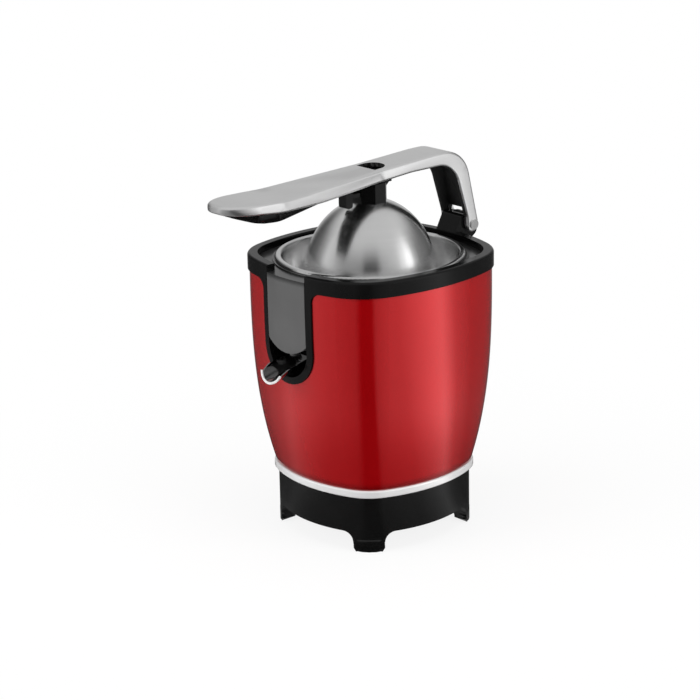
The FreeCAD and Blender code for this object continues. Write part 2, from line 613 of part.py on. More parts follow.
def make_drive():
    hub_low = PLATE_LEVEL + 1.0
    hub_high = TOWER_HIGH - 6
    drive_high = UPPER_GEARS + GEAR_WIDTH
    shaft = fused(flatted(SHAFT_RADIUS, SHAFT_FLAT, SHAFT_LOW, hub_high),
                  cylinder(SHAFT_RADIUS, hub_high + PRESS_TRAVEL, SHAFT_TOP),
                  flatted(SHAFT_RADIUS, SHAFT_FLAT, hub_high, hub_high + PRESS_TRAVEL))
    save("drive_shaft", shaft)

    out_phase = IDLER_ANGLE
    wheel = gear(STAGE_TWO_MODULE, OUTPUT_TEETH, UPPER_GEARS, drive_high, 0, 0, out_phase)
    hub = cylinder(HUB_RADIUS, hub_low, hub_high)
    way = flatted(SHAFT_RADIUS + RUN, SHAFT_FLAT + RUN, hub_low - 1, hub_high + 1)
    lightening = around(cylinder(6.0, UPPER_GEARS - 1, drive_high + 1, 20, 0), 5)
    save("output_gear", fused(wheel.cut(lightening), hub).cut(way))

    pinion_phase = IDLER_ANGLE + math.pi + math.pi / IDLER_PINION_TEETH
    to_motor = math.atan2(MOTOR_OFFSET - IDLER_Y, -IDLER_X)
    lower_high = LOWER_GEARS + GEAR_WIDTH
    big = gear(STAGE_ONE_MODULE, IDLER_TEETH, LOWER_GEARS, lower_high, IDLER_X, IDLER_Y, to_motor)
    small = gear(STAGE_TWO_MODULE, IDLER_PINION_TEETH, lower_high - 1, drive_high, IDLER_X, IDLER_Y,
                 pinion_phase)
    axle_way = cylinder(MOTOR_SHAFT + RUN, 0, 2 * COVER_HIGH, IDLER_X, IDLER_Y)
    save("idler_gear", fused(big, small).cut(axle_way))
    axle = cylinder(MOTOR_SHAFT, PLATE_LEVEL, COVER_HIGH - COVER_WALL, IDLER_X, IDLER_Y)
    save("idler_axle", axle)

    motor_phase = to_motor + math.pi + math.pi / MOTOR_TEETH
    pinion = gear(STAGE_ONE_MODULE, MOTOR_TEETH, LOWER_GEARS, lower_high, 0, MOTOR_OFFSET, motor_phase)
    save("motor_pinion", pinion.cut(cylinder(MOTOR_SHAFT, 0, 2 * COVER_HIGH, 0, MOTOR_OFFSET)))
    save("motor_shaft", cylinder(MOTOR_SHAFT, CAN_LOW + CAN_WALL + 1, lower_high, 0, MOTOR_OFFSET))
    core = cylinder(ROTOR_RADIUS, STATOR_LOW + 1, STATOR_HIGH - 1, 0, MOTOR_OFFSET)
    save("rotor_core", core.cut(cylinder(MOTOR_SHAFT, 0, 2 * COVER_HIGH, 0, MOTOR_OFFSET)))
    save("cooling_fan", make_fan())


def make_fan():
    disc = tube(FAN_RADIUS, MOTOR_SHAFT, FAN_LOW, FAN_LOW + 1.5)
    hub = tube(MOTOR_SHAFT + 3, MOTOR_SHAFT, FAN_LOW, FAN_HIGH)
    blade = block(MOTOR_SHAFT + 1.5, FAN_RADIUS - 1, -0.7, 0.7, FAN_LOW + 0.5, FAN_HIGH)
    fan = fused(disc, hub, *around(blade, FAN_BLADES))
    fan.translate(V(0, MOTOR_OFFSET, 0))
    return fan


def make_motor():
    y = MOTOR_OFFSET
    can = tube(CAN_RADIUS, CAN_RADIUS - CAN_WALL, CAN_LOW, PLATE_LEVEL, 0, y)
    end = cylinder(CAN_RADIUS, CAN_LOW, CAN_LOW + CAN_WALL, 0, y)
    seat = cylinder(BEARING_RADIUS + 2, CAN_LOW, CAN_LOW + BEARING_WIDTH, 0, y)
    pocket = cylinder(BEARING_RADIUS, CAN_LOW + CAN_WALL, CAN_LOW + BEARING_WIDTH + 1, 0, y)
    windows = [block(-CAN_RADIUS - 1, CAN_RADIUS + 1, y - 8, y + 8, FAN_LOW - 2, FAN_HIGH + 1)]
    save("motor_can", fused(can, end, seat).cut([pocket] + windows))

    stator = tube(CAN_RADIUS - CAN_WALL, ROTOR_RADIUS + AIR, STATOR_LOW, STATOR_HIGH, 0, y)
    save("stator_core", stator)
    inner, outer = ROTOR_RADIUS + 1.5, CAN_RADIUS - CAN_WALL - 1.5
    coils = []
    for low in (STATOR_LOW - COIL_HEIGHT, STATOR_HIGH):
        high = low + COIL_HEIGHT
        coil = turned([(inner, low, 2), (outer, low, 2), (outer, high, 2), (inner, high, 2)])
        coil.translate(V(0, y, 0))
        coils.append(coil)
    save("stator_coils", Part.makeCompound(coils))
    low = CAN_LOW + CAN_WALL
    bearings = [tube(BEARING_RADIUS, MOTOR_SHAFT + RUN, low, CAN_LOW + BEARING_WIDTH, 0, y),
                tube(BEARING_RADIUS, MOTOR_SHAFT + RUN, PLATE_LEVEL, PLATE_LEVEL + GEAR_PLATE_THICK, 0, y)]
    save("motor_bearings", Part.makeCompound(bearings))


def make_chassis():
    low, high = PLATE_LEVEL, PLATE_LEVEL + GEAR_PLATE_THICK
    edge = [(-CHASSIS_HALF, -CHASSIS_HALF, CHASSIS_ROUND), (CHASSIS_HALF, -CHASSIS_HALF, CHASSIS_ROUND),
            (CHASSIS_HALF, CHASSIS_BACK, CHASSIS_ROUND), (-CHASSIS_HALF, CHASSIS_BACK, CHASSIS_ROUND)]
    plate = plan_prism(edge, low, high)
    posts = [cylinder(POST_RADIUS, PLATE_TOP, low, x, y) for x, y in four_corners(POST_PLACE)]
    cup = cylinder(HUB_RADIUS + BUSH_WALL + 2, SPRING_LOW - 2, low)
    chassis = fused(plate, cup, *posts)
    screw_holes = [cylinder(SCREW_RADIUS, PLATE_TOP - 1, PLATE_TOP + SCREW_BITE + 1, x, y)
                   for x, y in four_corners(POST_PLACE)]
    bush_hole = cylinder(HUB_RADIUS + BUSH_WALL, low, high + 1)
    spring_hole = cylinder(SPRING_RADIUS + FIT, SPRING_LOW, high + 1)
    bearing_hole = cylinder(BEARING_RADIUS, low - 1, high + 1, 0, MOTOR_OFFSET)
    axle_hole = cylinder(MOTOR_SHAFT, low, high + 1, IDLER_X, IDLER_Y)
    save("gear_chassis", chassis.cut(screw_holes + [bush_hole, spring_hole, bearing_hole, axle_hole]))

    bushes = [tube(HUB_RADIUS + BUSH_WALL, HUB_RADIUS + RUN, low, high),
              tube(HUB_RADIUS + BUSH_WALL, HUB_RADIUS + RUN, TOWER_HIGH - 14, TOWER_HIGH - 6)]
    save("hub_bushes", Part.makeCompound(bushes))

    shift = COVER_INSET
    outline = [(-CHASSIS_HALF + shift, -CHASSIS_HALF + shift, CHASSIS_ROUND - shift),
               (CHASSIS_HALF - shift, -CHASSIS_HALF + shift, CHASSIS_ROUND - shift),
               (CHASSIS_HALF - shift, CHASSIS_BACK - shift, CHASSIS_ROUND - shift),
               (-CHASSIS_HALF + shift, CHASSIS_BACK - shift, CHASSIS_ROUND - shift)]
    shift += COVER_WALL
    inline = [(-CHASSIS_HALF + shift, -CHASSIS_HALF + shift, CHASSIS_ROUND - shift),
              (CHASSIS_HALF - shift, -CHASSIS_HALF + shift, CHASSIS_ROUND - shift),
              (CHASSIS_HALF - shift, CHASSIS_BACK - shift, CHASSIS_ROUND - shift),
              (-CHASSIS_HALF + shift, CHASSIS_BACK - shift, CHASSIS_ROUND - shift)]
    cover = plan_prism(outline, high, COVER_HIGH).cut(plan_prism(inline, high - 1, COVER_HIGH - COVER_WALL))
    tower_radius = HUB_RADIUS + BUSH_WALL
    tower = tube(tower_radius + COVER_WALL, tower_radius, COVER_HIGH - COVER_WALL, TOWER_HIGH)
    cover = cover.cut(cylinder(tower_radius, high, TOWER_HIGH))
    save("gear_cover", fused(cover, tower))
    save("shaft_seal", tube(tower_radius, SHAFT_RADIUS + RUN, TOWER_HIGH - 6 + AIR, TOWER_HIGH))
    save("return_spring", tube(SPRING_RADIUS, SPRING_RADIUS - 1.5, SPRING_LOW, SHAFT_LOW - PRESS_TRAVEL))
    save("spring_plunger", cylinder(SPRING_RADIUS - 0.5, SHAFT_LOW - PRESS_TRAVEL, SHAFT_LOW))
    switch = block(SWITCH_X, SWITCH_X + 20, -3.2, 3.2, low - 10, low)
    button = block(SWITCH_X + 4, SWITCH_X + 8, -1.5, 1.5, low - 11.5, low - 9)
    save("start_switch", fused(switch, button))


def arm_low(y):
    """Height of the arm's straight lower edge between the paddle and the bend."""
    return WAIST_LOW + (CROWN_LOW - WAIST_LOW) * (y - WAIST_Y) / (CROWN_Y - WAIST_Y)


def arm_profile(skin_gap):
    """Side view of the arm; skin_gap moves the top line inwards to give the line under the skin."""
    g = skin_gap
    return [(TIP_Y + g, TIP_TOP - g), (PADDLE_Y, WAIST_TOP - g, 300), (SHOULDER_Y, CROWN_TOP - g, 160),
            (BEND_Y - g, CROWN_TOP - g, BEND_ROUND - g)]


def make_arm():
    lean = (PIN_Y + CHEEK_ROUND - BEND_Y) / (CROWN_TOP - PIN_Z)
    foot = PIN_Z - CHEEK_ROUND
    end_y = PIN_Y + CHEEK_ROUND + lean * CHEEK_ROUND
    profile = arm_profile(0) + [
        (end_y, foot, CHEEK_ROUND - 0.2), (PIN_Y - CHEEK_ROUND, foot, CHEEK_ROUND - 0.2),
        (PIN_Y - CHEEK_ROUND, PIN_Z + CHEEK_ROUND, 20), (INNER_BEND_Y, CROWN_LOW, INNER_BEND_ROUND),
        (CROWN_Y, CROWN_LOW, 120), (WAIST_Y, WAIST_LOW, 200), (BELLY_Y, WAIST_LOW, 120), (TIP_Y, TIP_LOW)]
    wide = ARM_HALF_TIP + 5
    blank = side_prism(profile, -wide, wide)
    blank = blank.common(plan_prism(arm_plan(0), foot - 5, CROWN_TOP + 5))
    blank = blank.makeFillet(ARM_EDGE, outer_edges(blank))

    g = ARM_SKIN
    hollow = arm_profile(g) + [(end_y - g, foot - 5), (PIN_Y - 40, foot - 5), (PIN_Y - 40, WAIST_LOW - 30),
                               (TIP_Y + g, WAIST_LOW - 30)]
    hollow = side_prism(hollow, -wide, wide)
    hollow = hollow.common(plan_prism(arm_plan(CHEEK_THICK), foot - 10, CROWN_TOP + 5))
    inner = ARM_HALF_REAR - CHEEK_THICK
    below_spine = block(-inner, inner, PIN_Y - 40, PIN_Y + 40, foot - 5, SPINE_END)
    turn = RECESS_HALF - 0.5
    recess = [(-RECESS_HALF, RECESS_FRONT), (RECESS_HALF, RECESS_FRONT),
              (RECESS_HALF, RECESS_BACK, turn), (-RECESS_HALF, RECESS_BACK, turn)]
    recess = plan_prism(recess, WAIST_LOW, CROWN_TOP + 5)
    pin = rod_x(PIN_RADIUS + RUN, -wide, wide, PIN_Y, PIN_Z)
    arm = blank.cut([hollow, below_spine, recess, pin])
    bosses = [cylinder(GRIP_BOSS, GRIP_TOP, CROWN_TOP, 0, y).common(blank) for y in GRIP_SCREWS]
    threads = [cylinder(SCREW_RADIUS, GRIP_TOP - 1, GRIP_TOP + GRIP_BITE, 0, y) for y in GRIP_SCREWS]
    save("lever_arm", fused(arm, *bosses).cut(threads))


def arm_plan(inset):
    """Top view of the arm: a paddle at the front, narrowing to the hinge fork."""
    tip, rear = ARM_HALF_TIP - inset, ARM_HALF_REAR - inset
    front = TIP_Y + inset
    turn = TIP_ROUND - inset
    far = PIN_Y + 30
    return [(-tip + 1.5, front, turn), (tip - 1.5, front, turn), (tip, BELLY_Y, 60), (rear, 0, 120),
            (rear, far), (-rear, far), (-rear, 0, 120), (-tip, BELLY_Y, 60)]


def outer_edges(solid):
    """Edges where the arm's top and back meet its upright sides."""
    chosen = []
    for edge in solid.Edges:
        kinds = set()
        for face in solid.ancestorsOfType(edge, Part.Face):
            u0, u1, v0, v1 = face.ParameterRange
            normal = face.normalAt((u0 + u1) / 2, (v0 + v1) / 2)
            middle = face.CenterOfMass
            upright = abs(normal.z) < 1e-3 and abs(middle.x) > 1 or middle.y < TIP_Y + 1
            if upright:
                kinds.add("side")
            elif normal.z > 0.05 and middle.z > PIN_Z:
                kinds.add("top")
        if len(kinds) == 2:
            chosen.append(edge)
    return chosen


def make_arm_fittings():
    plan = arm_plan(CHEEK_THICK + FIT)
    wide = ARM_HALF_TIP + 5
    front = TIP_Y + CHEEK_THICK + 1
    belly = [(front, GRIP_TOP), (front, GRIP_TOP - 3, 2), (BELLY_Y - 20, GRIP_BELLY + 1.5, 30),
             (BELLY_Y, GRIP_BELLY, 60), (WAIST_Y, WAIST_LOW - 0.6, 80), (GRIP_BACK, arm_low(GRIP_BACK)),
             (GRIP_BACK, GRIP_TOP)]
    grip = side_prism(belly, -wide, wide).common(plan_prism(plan, GRIP_BELLY - 5, CROWN_TOP))
    head_seat = GRIP_TOP - GRIP_SEAT
    holes = [cylinder(SCREW_RADIUS + FIT, GRIP_BELLY - 5, GRIP_TOP + 1, 0, y) for y in GRIP_SCREWS]
    wells = [cylinder(SCREW_HEAD + FIT, GRIP_BELLY - 5, head_seat, 0, y) for y in GRIP_SCREWS]
    save("grip_cover", grip.cut(holes + wells))
    screws = [fused(cylinder(SCREW_HEAD, head_seat - HEAD_THICK, head_seat, 0, y),
                    cylinder(SCREW_RADIUS, head_seat - HEAD_THICK / 2, GRIP_TOP + GRIP_BITE, 0, y))
              for y in GRIP_SCREWS]
    save("grip_screws", Part.makeCompound(screws))

    thick = SOCKET_THICK
    edge = [(SOCKET_FRONT, arm_low(SOCKET_FRONT)), (SOCKET_BACK, arm_low(SOCKET_BACK)),
            (SOCKET_BACK, arm_low(SOCKET_BACK) + thick), (SOCKET_FRONT, arm_low(SOCKET_FRONT) + thick)]
    half_knob = KNOB_FLATS / 2
    seat = block(-half_knob, half_knob, -half_knob, half_knob, KNOB_TOP, KNOB_TOP + thick)
    plate = fused(side_prism(edge, -wide, wide), seat)
    plate = plate.common(plan_prism(plan, WAIST_LOW - 20, CROWN_TOP))
    behind, end = half_knob + AIR, arm_low(SOCKET_BACK)
    gusset = [(behind, KNOB_TOP + thick), (behind, KNOB_TOP - GUSSET_DROP), (SOCKET_BACK, end),
              (SOCKET_BACK, end + 1)]
    gusset = side_prism(gusset, -GUSSET_HALF, GUSSET_HALF)
    side = LATCH_HALF + AIR
    slot = block(-side, side, TONGUE_FRONT - 4, RECESS_BACK, WAIST_LOW - 20, CROWN_TOP)
    pin_hole = rod_x(LATCH_PIN_RADIUS, -wide, wide, LATCH_PIN_Y, LATCH_PIN_Z)
    save("cup_socket", fused(plate.cut([slot, pin_hole]), gusset))
    half = LATCH_HALF + 4.5
    save("latch_pin", rod_x(LATCH_PIN_RADIUS, -half, half, LATCH_PIN_Y, LATCH_PIN_Z))

    bar_top = LATCH_PIN_Z + 2.6
    thumb_top = LATCH_PIN_Z + THUMB_RISE
    bar_low = LATCH_PIN_Z - 2.6
    clear = KNOB_TOP + PRESS_CLEAR
    latch = [(TONGUE_FRONT, bar_top, 3), (TONGUE_FRONT, TONGUE_LOW, 2.5), (TONGUE_BACK, TONGUE_LOW, 2.5),
             (TONGUE_BACK, HOOK_LOW), (-half_knob + 1, HOOK_LOW), (-half_knob + 1, HOOK_HIGH),
             (TONGUE_BACK, HOOK_HIGH), (TONGUE_BACK, bar_low, 1), (LATCH_PIN_Y - 1, bar_low, 2),
             (RECESS_FRONT, clear), (RECESS_BACK - 1.5, clear + 1.2), (RECESS_BACK - 1.5, thumb_top),
             (RECESS_FRONT + AIR, thumb_top), (RECESS_FRONT + AIR, bar_top)]
    lever = side_prism(latch, -LATCH_HALF, LATCH_HALF)
    save("release_latch", lever.cut(rod_x(LATCH_PIN_RADIUS + RUN, -wide, wide, LATCH_PIN_Y, LATCH_PIN_Z)))

    cut = half_knob * math.tan(math.pi / 8)
    octagon = [(half_knob, -cut), (half_knob, cut), (cut, half_knob), (-cut, half_knob), (-half_knob, cut),
               (-half_knob, -cut), (-cut, -half_knob), (cut, -half_knob)]
    knob = plan_prism(octagon, CUP_MIDDLE + CUP_RISE - 5, KNOB_TOP)
    groove = block(-LATCH_HALF - AIR, LATCH_HALF + AIR, -half_knob - 1, -half_knob + KNOB_GROOVE,
                   HOOK_LOW - AIR, HOOK_HIGH + AIR)
    save("cup_knob", knob.cut([groove, egg(CUP_RADIUS, CUP_RISE)]))

    cup = egg(CUP_RADIUS, CUP_RISE).cut(egg(CUP_RADIUS - CUP_WALL, CUP_RISE - CUP_WALL))
    save("press_cup", cup.common(cylinder(CUP_RADIUS + 5, CUP_RIM, CUP_MIDDLE + CUP_RISE + 5)))

    pin = fused(rod_x(PIN_RADIUS, -ARM_HALF_REAR, ARM_HALF_REAR, PIN_Y, PIN_Z),
                rod_x(PIN_HEAD, ARM_HALF_REAR, ARM_HALF_REAR + PIN_HEAD_THICK, PIN_Y, PIN_Z))
    save("hinge_pin", pin)
    save("pin_cap", rod_x(PIN_HEAD, -ARM_HALF_REAR - PIN_HEAD_THICK, -ARM_HALF_REAR, PIN_Y, PIN_Z))


def egg(radius, rise):
    """Upper half of an egg-shaped solid, as a quarter ellipse turned about Z."""
    middle, side, apex = V(0, 0, CUP_MIDDLE), V(radius, 0, CUP_MIDDLE), V(0, 0, CUP_MIDDLE + rise)
    oval = Part.Ellipse(apex, side, middle) if rise > radius else Part.Ellipse(side, apex, middle)
    edges = [Part.ArcOfEllipse(oval, 0, math.pi / 2).toShape(),
             Part.LineSegment(apex, middle).toShape(), Part.LineSegment(middle, side).toShape()]
    return Part.Face(Part.Wire(Part.__sortEdges__(edges))).revolve(V(0, 0, 0), UP, 360)


def make_bracket():
    half = ARM_HALF_REAR - CHEEK_THICK - AIR
    back = RIM_OUTLINE[1]
    profile = [(back - RIM_WIDTH + 1, RIM_TOP), (PIN_Y - KNUCKLE_RADIUS, PIN_Z + KNUCKLE_RADIUS, 5),
               (PIN_Y + KNUCKLE_RADIUS, PIN_Z + KNUCKLE_RADIUS, KNUCKLE_RADIUS - 0.2),
               (PIN_Y + KNUCKLE_RADIUS, PIN_Z - KNUCKLE_RADIUS, 6), (back + FLANGE_OUT, FLANGE_LOW, 2),
               (back - RIM_WIDTH + 1, FLANGE_LOW)]
    knuckle = side_prism(profile, -half, half)
    end = FLANGE_LOW + FLANGE_END
    edge = [(-FLANGE_HALF, FLANGE_LOW, 2), (FLANGE_HALF, FLANGE_LOW, 2), (FLANGE_HALF, end, 2),
            (FLANGE_NECK, FLANGE_TOP, 12), (-FLANGE_NECK, FLANGE_TOP, 12), (-FLANGE_HALF, end, 2)]
    flange = front_prism(edge, back - 3 * RIM_WIDTH, back + 2 * FLANGE_OUT)
    flange = flange.common(bowed_block(RIM_OUTLINE, FLANGE_LOW - 1, FLANGE_TOP + 1, -FLANGE_OUT))
    rim = bowed_block(RIM_OUTLINE, FLANGE_LOW - 5, RIM_TOP)
    pin = rod_x(PIN_RADIUS + RUN, -FLANGE_HALF, FLANGE_HALF, PIN_Y, PIN_Z)
    seat = back + BRACKET_SEAT
    places = [V(sx * BRACKET_SCREW_X, seat, BRACKET_SCREW_Z) for sx in (-1, 1)]
    wells = [Part.makeCylinder(BRACKET_SCREW_HEAD + FIT, 2 * FLANGE_OUT, p, Y_WAY) for p in places]
    holes = bracket_bores(BRACKET_SCREW_RADIUS + FIT)
    save("hinge_bracket", fused(knuckle, flange).cut([rim, pin] + wells + holes))
    heads = [Part.makeCylinder(BRACKET_SCREW_HEAD, BRACKET_HEAD_THICK, p, Y_WAY) for p in places]
    shanks = bracket_bores(BRACKET_SCREW_RADIUS)
    save("bracket_screws", Part.makeCompound([fused(h, k) for h, k in zip(heads, shanks)]))


def bracket_bores(radius):
    """The two upright-wall bores that hold the hinge bracket to the rim, or the shanks that fill them."""
    start = RIM_OUTLINE[1] - BRACKET_SCREW_BITE
    length = BRACKET_SCREW_BITE + BRACKET_SEAT + BRACKET_HEAD_THICK / 2
    return [Part.makeCylinder(radius, length, V(sx * BRACKET_SCREW_X, start, BRACKET_SCREW_Z), Y_WAY)
            for sx in (-1, 1)]


def make_spout():
    run = V(0, math.cos(math.radians(SPOUT_TILT)), math.sin(math.radians(SPOUT_TILT)))
    lip = V(0, SPOUT_LIP_Y, SPOUT_LIP_Z)
    start = lip - run * SPOUT_RADIUS
    whole = SPOUT_LENGTH + SPOUT_RADIUS
    outer = Part.makeCylinder(SPOUT_RADIUS, whole, start, run)
    inner = Part.makeCylinder(SPOUT_RADIUS - SPOUT_WALL, whole - SPOUT_WALL, start, run)
    low = SPOUT_LIP_Z - 2 * SPOUT_RADIUS
    side = SPOUT_EDGE + [(SPOUT_EDGE[-1][0], low), (SPOUT_EDGE[0][0], low)]
    trough = outer.cut(inner).common(side_prism(side, -SPOUT_RADIUS - 1, SPOUT_RADIUS + 1))
    hub = rod_x(SPOUT_HUB_RADIUS, -SPOUT_HUB_HALF, SPOUT_HUB_HALF, SPOUT_PIN_Y, SPOUT_PIN_Z)
    reach = CHANNEL_HALF + NICHE_WALL
    pin = rod_x(SPOUT_PIN_RADIUS + RUN, -reach, reach, SPOUT_PIN_Y, SPOUT_PIN_Z)
    save("spout", fused(trough, hub.cut(inner)).cut(pin))
    save("spout_pin", rod_x(SPOUT_PIN_RADIUS, -reach, reach, SPOUT_PIN_Y, SPOUT_PIN_Z))


make_base()
make_body()
make_collector()
make_bowl()
make_reamer()
make_drive()
make_motor()
make_chassis()
make_arm()
make_arm_fittings()
make_bracket()
make_spout()
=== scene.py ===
"""Lever citrus press: finishes, small pieces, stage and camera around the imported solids."""
import json
import math

import bpy
from mathutils import Matrix, Vector


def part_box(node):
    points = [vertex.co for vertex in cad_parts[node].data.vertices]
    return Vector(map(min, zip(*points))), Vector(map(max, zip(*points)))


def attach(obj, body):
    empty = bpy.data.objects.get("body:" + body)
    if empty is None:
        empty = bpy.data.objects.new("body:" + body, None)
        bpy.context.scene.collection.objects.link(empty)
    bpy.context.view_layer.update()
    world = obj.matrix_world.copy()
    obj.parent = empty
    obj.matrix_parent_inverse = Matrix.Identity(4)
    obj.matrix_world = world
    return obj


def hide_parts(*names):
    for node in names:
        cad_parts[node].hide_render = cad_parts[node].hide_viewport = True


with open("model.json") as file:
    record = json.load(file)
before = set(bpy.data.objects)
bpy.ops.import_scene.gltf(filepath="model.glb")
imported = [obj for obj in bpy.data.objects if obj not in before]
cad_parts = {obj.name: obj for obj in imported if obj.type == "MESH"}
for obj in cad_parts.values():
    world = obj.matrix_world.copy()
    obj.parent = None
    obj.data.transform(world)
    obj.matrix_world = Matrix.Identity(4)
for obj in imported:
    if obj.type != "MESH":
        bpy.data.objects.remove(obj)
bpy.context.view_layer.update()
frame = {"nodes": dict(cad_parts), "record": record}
nodes = frame["nodes"]


# Shader maths

class Value:
    """One shader socket; arithmetic on it adds Math nodes."""

    def __init__(self, finish, socket):
        self.finish = finish
        self.socket = socket

    def math(self, operation, *others):
        return self.finish.node("ShaderNodeMath", {"operation": operation}, self, *others)

    def __add__(self, other):
        return self.math("ADD", other)

    def __sub__(self, other):
        return self.math("SUBTRACT", other)

    def __mul__(self, other):
        return self.math("MULTIPLY", other)

    def __truediv__(self, other):
        return self.math("DIVIDE", other)

    __radd__ = __add__
    __rmul__ = __mul__

    def between(self, low, high, out_low=0.0, out_high=1.0):
        """Smooth step of this value from low to high."""
        settings = {"interpolation_type": "SMOOTHSTEP"}
        return self.finish.node("ShaderNodeMapRange", settings, self, low, high, out_low, out_high)


class Bench:
    """A node tree and the few ways in which nodes are added to it."""

    def __init__(self, tree):
        self.tree = tree

    def node(self, kind, settings, *inputs, output=0, **named):
        made = self.tree.nodes.new(kind)
        for key, value in settings.items():
            if key == "stops":
                ramp = made.color_ramp.elements
                while len(ramp) < len(value):
                    ramp.new(1.0)
                for stop, (spot, colour) in zip(ramp, value):
                    stop.position = spot
                    stop.color = (*colour, 1.0)
            else:
                setattr(made, key, value)
        for index, value in enumerate(inputs):
            self.feed(made.inputs[index], value)
        for key, value in named.items():
            self.feed(made.inputs[key.replace("_", " ")], value)
        return Value(self, made.outputs[output])

    def feed(self, socket, value):
        if isinstance(value, Value):
            self.tree.links.new(value.socket, socket)
        else:
            socket.default_value = value

    def ramp(self, value, *stops):
        return self.node("ShaderNodeValToRGB", {"stops": stops}, value)

    def split(self, vector):
        """The three parts of a vector as separate values."""
        first = self.node("ShaderNodeSeparateXYZ", {}, vector)
        return [Value(self, output) for output in first.socket.node.outputs]


class Finish(Bench):
    """A node material with one Principled shader."""

    def __init__(self, name, **sockets):
        self.material = bpy.data.materials.new(name)
        self.material.use_nodes = True
        super().__init__(self.material.node_tree)
        self.shader = self.tree.nodes["Principled BSDF"]
        self.place = self.node("ShaderNodeTexCoord", {}, output="Object")
        self.set(**sockets)

    def set(self, **sockets):
        for key, value in sockets.items():
            self.feed(self.shader.inputs[key.replace("_", " ")], value)

    def stretched(self, scale):
        return self.node("ShaderNodeMapping", {}, self.place, Scale=scale)

    def noise(self, scale, detail=3.0, where=None):
        where = self.place if where is None else where
        return self.node("ShaderNodeTexNoise", {}, Vector=where, Scale=scale, Detail=detail)

    def bump(self, height, strength, distance):
        return self.node("ShaderNodeBump", {}, Height=height, Strength=strength, Distance=distance)


def grey(level):
    return (level, level, level)


# Finishes

LOW_SHADE_BAND = (0.0575, 0.066)   # painted shade: the paint is darker below this band of heights, where the shell meets the ring
DECK_SHADE_BAND = (0.238, 0.243)   # painted shade: heights above which the grey of the tray's top is darkened
RINGS = 900.0           # turning marks per metre


def red_lacquer():
    """Metallic red paint under a clear coat, with fine flakes, slow drifts of tone and painted shade towards
    its lower edge.
    """
    f = Finish("red_lacquer", Coat_Weight=1.0, Coat_Roughness=0.03, Metallic=0.6)
    flakes = f.node("ShaderNodeTexVoronoi", {}, output="Color", Vector=f.place, Scale=2600.0)
    drift = f.noise(9.0, 2.0)
    tone = f.noise(1.0, 0.0, flakes) * 0.5 + drift * 0.5
    height = f.split(f.place)[2]
    # Painted shade: the base colour is multiplied darker below the band.
    low_shade = height.between(*LOW_SHADE_BAND, 0.45, 1.0)
    paint = f.ramp(tone, (0.3, (0.58, 0.0012, 0.004)), (0.7, (0.69, 0.002, 0.006)))
    f.set(Base_Color=f.node("ShaderNodeMixRGB", {"blend_type": "MULTIPLY"}, 1.0, paint, low_shade))
    f.set(Roughness=0.17 + 0.06 * drift)
    f.set(Normal=f.bump(f.noise(140.0, 2.0), 0.02, 0.0004))
    return f.material


def black_gloss(name, mirror):
    f = Finish(name, Specular_IOR_Level=mirror)
    cloud = f.noise(26.0, 4.0)
    f.set(Base_Color=f.ramp(cloud, (0.3, grey(0.0035)), (0.7, grey(0.006))))
    f.set(Roughness=0.12 + 0.08 * cloud)
    f.set(Normal=f.bump(f.noise(420.0, 2.0), 0.03, 0.0002))
    return f.material


def black_satin():
    f = Finish("black_satin")
    grain = f.noise(1500.0, 2.0)
    cloud = f.noise(30.0, 3.0)
    f.set(Base_Color=f.ramp(cloud, (0.3, grey(0.007)), (0.7, grey(0.012))))
    f.set(Roughness=0.38 + 0.14 * cloud)
    f.set(Normal=f.bump(grain, 0.12, 0.0002))
    return f.material


def hollow_shade_black():
    """Dull black as painted shade inside the casting's hollows."""
    f = Finish("hollow_shade_black")
    cloud = f.noise(40.0, 3.0)
    f.set(Base_Color=f.ramp(cloud, (0.3, grey(0.012)), (0.7, grey(0.022))))
    f.set(Roughness=0.45 + 0.15 * cloud)
    return f.material


def grey_plastic():
    f = Finish("grey_plastic", Coat_Weight=0.5, Coat_Roughness=0.12)
    grain = f.noise(1800.0, 2.0)
    cloud = f.noise(22.0, 3.0)
    height = f.split(f.place)[2]
    # Painted shade: the grey plastic is made darker on the tray's top.
    deck_shade = height.between(*DECK_SHADE_BAND) * 0.068
    tone = f.ramp(cloud, (0.3, grey(0.075)), (0.7, grey(0.09)))
    f.set(Base_Color=f.node("ShaderNodeMixRGB", {"blend_type": "SUBTRACT"}, 1.0, tone, deck_shade))
    f.set(Roughness=0.3 + 0.1 * cloud)
    f.set(Normal=f.bump(grain, 0.06, 0.0002))
    return f.material


def satin_alloy():
    """Blasted and lightly brushed casting: fine grain along the arm."""
    f = Finish("satin_alloy", Metallic=1.0)
    lines = f.noise(60.0, 4.0, f.stretched((30.0, 1.0, 30.0)))
    cloud = f.noise(35.0, 3.0)
    f.set(Base_Color=f.ramp(lines * 0.6 + cloud * 0.4, (0.3, grey(0.88)), (0.7, grey(0.95))))
    f.set(Roughness=0.3 + 0.12 * lines)
    f.set(Normal=f.bump(lines, 0.05, 0.0002))
    return f.material


def turned_steel(name, low, high, rough, brushing, anisotropy):
    """Steel with fine rings round the upright axis."""
    f = Finish(name, Metallic=1.0, Anisotropic=anisotropy, Anisotropic_Rotation=0.25)
    x, y, z = f.split(f.place)
    radius = (x * x + y * y).math("SQRT")
    rings = f.node("ShaderNodeCombineXYZ", {}, radius * RINGS, z * RINGS, 0.0)
    lines = f.noise(1.0, 3.0, rings)
    cloud = f.noise(24.0, 3.0)
    f.set(Base_Color=f.ramp(lines * 0.5 + cloud * 0.5, (0.3, low), (0.7, high)))
    f.set(Roughness=rough + 0.1 * (lines - 0.5) + 0.06 * (cloud - 0.5))
    f.set(Normal=f.bump(lines, brushing, 0.0002))
    return f.material


def bright_metal():
    f = Finish("bright_metal", Metallic=1.0)
    cloud = f.noise(60.0, 4.0)
    f.set(Base_Color=f.ramp(cloud, (0.3, grey(0.78)), (0.7, grey(0.84))))
    f.set(Roughness=0.05 + 0.06 * cloud)
    return f.material


